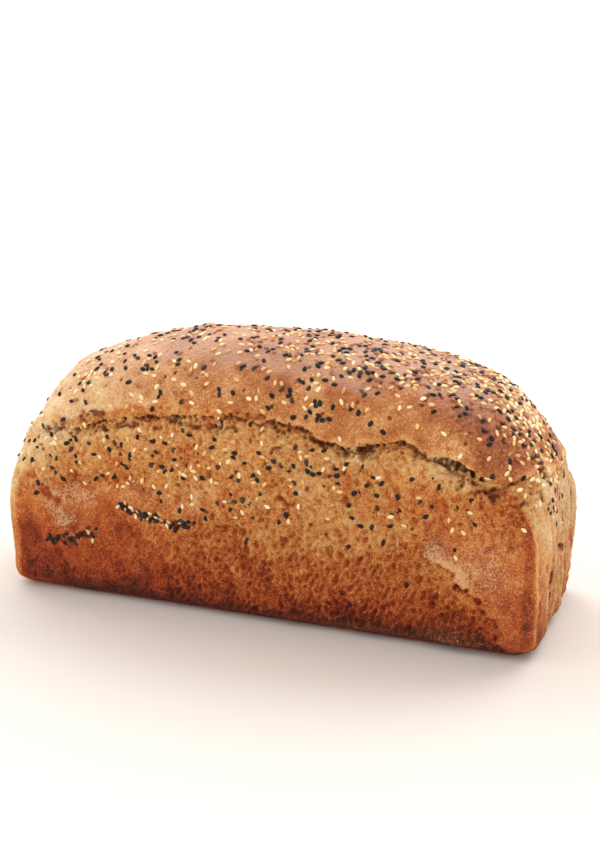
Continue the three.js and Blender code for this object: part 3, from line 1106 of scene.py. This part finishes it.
# %% Group: grain
def start_group(name, inputs, outputs):
    group = bpy.data.node_groups.new(name, "ShaderNodeTree")
    for title, value in inputs:
        socket = group.interface.new_socket(title, in_out="INPUT", socket_type="NodeSocketFloat")
        socket.default_value = value
    for title in outputs:
        group.interface.new_socket(title, in_out="OUTPUT", socket_type="NodeSocketFloat")
    return group, group.nodes.new("NodeGroupInput").outputs, group.nodes.new("NodeGroupOutput").inputs


def noise(tree, place, scale, detail, roughness):
    inputs = {"Vector": place, "Scale": scale, "Detail": detail, "Roughness": roughness}
    return node(tree, "ShaderNodeTexNoise", inputs).outputs["Fac"]


grain_scales = [("Fine Scale", 800.0), ("Coarse Scale", 200.0)]
grain, given, result = start_group("grain", grain_scales, ["Fine", "Coarse"])
place = node(grain, "ShaderNodeTexCoord").outputs["Object"]
grain.links.new(noise(grain, place, given["Fine Scale"], 3.0, 0.6), result["Fine"])
grain.links.new(noise(grain, place, given["Coarse Scale"], 3.0, 0.6), result["Coarse"])
print("grain puts out:", [socket.name for socket in result if socket.name])

# %% Group: dusting
dusting, given, result = start_group("dusting", [("Amount", 0.5), ("Scale", 900.0)], ["Mask"])
place = node(dusting, "ShaderNodeTexCoord").outputs["Object"]
clump_scale = calc(dusting, "MULTIPLY", given["Scale"], 0.25)
web_scale = calc(dusting, "MULTIPLY", given["Scale"], 0.45)
clumps = calc(dusting, "MULTIPLY", noise(dusting, place, clump_scale, 3.0, 0.6), 0.5)
web = calc(dusting, "ABSOLUTE", centred(dusting, noise(dusting, place, web_scale, 2.0, 0.5)))
flour_grains = calc(dusting, "ADD", noise(dusting, place, given["Scale"], 2.0, 0.7), clumps)
flour_grains = calc(dusting, "MULTIPLY_ADD", web, -1.2, flour_grains)
lacking = calc(dusting, "MULTIPLY_ADD", given["Amount"], -0.42, 0.92)
grains_over = calc(dusting, "SUBTRACT", flour_grains, lacking)
dusting.links.new(calc(dusting, "MULTIPLY", grains_over, 7.0, clamp=True), result["Mask"])
print("dusting puts out:", [socket.name for socket in result if socket.name])

# %% [markdown]
# ## The crust's finish
#
# Browning picks the colour from a ramp, after the grain has scattered it. Where the crust is
# crumbly, small bubbles too fine for the mesh are cells of a Voronoi texture: their middles lie
# low in the bump and get painted shade, and the walls between them stand up and get painted light.
# Pale fibres and flecks of bran lie over them.

# %% Crust material: its patterns
def grained(tree, fine, coarse):
    """The grain group, placed in a material with its own two scales."""
    scales = {"Fine Scale": fine, "Coarse Scale": coarse}
    return node(tree, "ShaderNodeGroup", scales, node_tree=grain).outputs


SWIRL = 2.2 * MM
CELL_STRETCH = (1, 1, 0.7)
crust_material, tree, shader = start_material("crust")
place = node(tree, "ShaderNodeTexCoord").outputs["Object"]
mottle = grained(tree, 1100.0, 260.0)
swirl_inputs = {"Vector": place, "Scale": 300.0, "Detail": 2.0}
swirl = node(tree, "ShaderNodeTexNoise", swirl_inputs).outputs["Color"]
shifted = vector_calc(tree, "ADD", place, vector_calc(tree, "MULTIPLY", swirl, (SWIRL,) * 3))
stretched = vector_calc(tree, "MULTIPLY", shifted, CELL_STRETCH)
cells = node(tree, "ShaderNodeTexVoronoi", {"Vector": stretched, "Scale": 720.0}).outputs["Distance"]
crumb_share = painted(tree, "crumbly")
skin_share = painted(tree, "dome")
bran = noise(tree, place, 1700.0, 1.0, 0.5)
flecks = calc(tree, "MULTIPLY", calc(tree, "SUBTRACT", bran, 0.58), 7.0, clamp=True)
wool = calc(tree, "ABSOLUTE", centred(tree, noise(tree, stretched, 560.0, 3.0, 0.5)))
fibres = calc(tree, "MULTIPLY_ADD", wool, -14.0, 1.0, clamp=True)
fibres = calc(tree, "MULTIPLY", fibres, crumb_share)
print("nodes so far:", len(tree.nodes))

# %% [markdown]
# Everything that makes a spot look browner or paler is added to the painted browning: less grain
# where the skin is tight or crumbly, painted shade in the hollows and painted light on what stands
# out, less browning on flecks and fibres.

# %% Crust material: how brown it looks
grain_share = calc(tree, "MULTIPLY_ADD", skin_share, -0.14, 0.72)
grain_share = calc(tree, "MULTIPLY_ADD", crumb_share, -0.22, grain_share)
baked = calc(tree, "MULTIPLY_ADD", centred(tree, mottle["Fine"]), grain_share, painted(tree, "browning"))
# Painted shade in the cells' middles and painted light on their walls.
cell_shade = calc(tree, "MULTIPLY", centred(tree, cells), crumb_share)
for pattern, amount in (
    (centred(tree, mottle["Coarse"]), 0.2),
    (cell_shade, -0.07),
    # painted shade in the hollows, painted light on the crests
    (centred(tree, painted(tree, "raised")), -0.45),
    (flecks, -0.17),
    (fibres, -0.24),
):
    baked = calc(tree, "MULTIPLY_ADD", pattern, amount, baked)
print("nodes so far:", len(tree.nodes))

# %% [markdown]
# The walls and the dome have a ramp each. Over those, the crown gets a reddish blush, the painted
# sheen a pale one that stands in for a highlight, bare crumb the colours of its own ramp, and the
# holes a dark painted shade. Flour lies on top, as grains over a thin veil.

# %% Crust material: colours
BLUSH = rgb(186, 108, 74)
# The colour of the painted sheen, a painted highlight.
SHINE = rgb(218, 180, 158)
# The colour of the painted shade inside holes.
HOLE_SHADE = rgb(108, 49, 25)
FLOUR = rgb(236, 198, 146)
crust_colour = ramp(tree, baked, [
    (0.05, rgb(246, 208, 150)),
    (0.28, rgb(236, 175, 105)),
    (0.45, rgb(215, 136, 66)),
    (0.6, rgb(190, 93, 34)),
    (0.75, rgb(157, 58, 14)),
    (0.9, rgb(108, 33, 6)),
    (1.0, rgb(70, 21, 4)),
])
dome_colour = ramp(tree, baked, [
    (0.2, rgb(250, 216, 166)),
    (0.4, rgb(230, 169, 109)),
    (0.55, rgb(198, 124, 64)),
    (0.7, rgb(168, 90, 44)),
    (0.85, rgb(126, 58, 30)),
    (1.0, rgb(70, 32, 18)),
])
crumb_colour = ramp(tree, mottle["Fine"], [
    (0.3, rgb(166, 88, 48)),
    (0.55, rgb(208, 124, 70)),
    (0.75, rgb(234, 164, 102)),
])
colour = blend(tree, skin_share, crust_colour, dome_colour)
for name, strength, tint in (
    ("crown", 0.2, BLUSH),
    ("sheen", 0.6, SHINE),
    ("bare", 0.5, crumb_colour),
    ("holes", 0.86, HOLE_SHADE),
):
    colour = blend(tree, calc(tree, "MULTIPLY", painted(tree, name), strength), colour, tint)
flour_share = painted(tree, "flour")
dust_inputs = {"Amount": flour_share, "Scale": 1400.0}
dust = node(tree, "ShaderNodeGroup", dust_inputs, node_tree=dusting).outputs["Mask"]
veil = calc(tree, "MULTIPLY", flour_share, calc(tree, "MULTIPLY", mottle["Coarse"], 0.2))
colour = blend(tree, calc(tree, "MULTIPLY_ADD", dust, 0.56, veil), colour, FLOUR)
tree.links.new(colour, shader.inputs["Base Color"])
print("nodes so far:", len(tree.nodes))

# %% [markdown]
# The tight skin is smoother than the dry walls. The grain, the cells and the fibres also feed a
# bump of a few tenths of a millimetre, which is finer than the mesh.

# %% Crust material: gloss and bump
BUMP_DEPTH = 0.6 * MM
tree.links.new(calc(tree, "MULTIPLY_ADD", skin_share, -0.25, 0.72), shader.inputs["Roughness"])
shader.inputs["Specular IOR Level"].default_value = 0.27
height = calc(tree, "MULTIPLY", mottle["Fine"], 2.2)
for pattern, amount in ((mottle["Coarse"], 1.6), (cells, 0.9), (fibres, 0.9)):
    height = calc(tree, "MULTIPLY_ADD", pattern, amount, height)
bump = node(tree, "ShaderNodeBump", {"Strength": 1.0, "Distance": BUMP_DEPTH, "Height": height})
tree.links.new(bump.outputs["Normal"], shader.inputs["Normal"])
for quarter in quarters:
    quarter.data.materials.clear()
    quarter.data.materials.append(crust_material)
print("crust material on", len(quarters), "pieces")

# %% [markdown]
# ## The seeds' finish
#
# Pale sesame goes from ivory to toasted gold, seed by seed. Black sesame is nearly black, with
# a soft sheen and a few worn, greyer seeds.

# %% Seed materials
def seed_material(name, stops, roughness, gloss):
    material, tree, shader = start_material(name)
    mottle = grained(tree, 1500.0, 500.0)
    varied = calc(tree, "MULTIPLY_ADD", mottle["Coarse"], 0.25, painted(tree, "toast"))
    tree.links.new(ramp(tree, varied, stops), shader.inputs["Base Color"])
    shader.inputs["Roughness"].default_value = roughness
    shader.inputs["Specular IOR Level"].default_value = gloss
    bump_inputs = {"Strength": 0.4, "Distance": 0.2 * MM, "Height": mottle["Fine"]}
    bump = node(tree, "ShaderNodeBump", bump_inputs)
    tree.links.new(bump.outputs["Normal"], shader.inputs["Normal"])
    return material


pale_finish = seed_material("pale_seeds", [
    (0.1, rgb(250, 231, 188)),
    (0.55, rgb(243, 213, 156)),
    (0.9, rgb(226, 172, 100)),
    (1.0, rgb(166, 96, 50)),
], roughness=0.45, gloss=0.4)
black_finish = seed_material("black_seeds", [
    (0.1, rgb(16, 11, 10)),
    (0.85, rgb(26, 20, 18)),
    (1.0, rgb(66, 50, 40)),
], roughness=0.55, gloss=0.3)
pale_piece.data.materials.append(pale_finish)
black_piece.data.materials.append(black_finish)
print("seed materials:", pale_finish.name, "and", black_finish.name)

# %% [markdown]
# ## The floor
#
# The loaf stands on a plain pale sheet of paper, wide enough to reach past every view.

# %% Floor
FLOOR_SIZE = 40
bpy.ops.object.select_all(action="DESELECT")
bpy.ops.mesh.primitive_plane_add(size=FLOOR_SIZE)
floor = bpy.context.object
floor.name = "floor"
paper, tree, shader = start_material("paper")
shader.inputs["Base Color"].default_value = rgb(222, 213, 205)
shader.inputs["Roughness"].default_value = 0.85
floor.data.materials.append(paper)
print("floor:", FLOOR_SIZE, "m wide")

# %% [markdown]
# ## One body
#
# Each piece rides on the loaf's one body. The crust stands for the plain solid, which is hidden.

# %% Finish
for piece in quarters:
    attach(piece, "root")
    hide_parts("loaf")
for piece, finish in ((pale_piece, "pale_seeds"), (black_piece, "black_seeds")):
    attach(piece, "root")
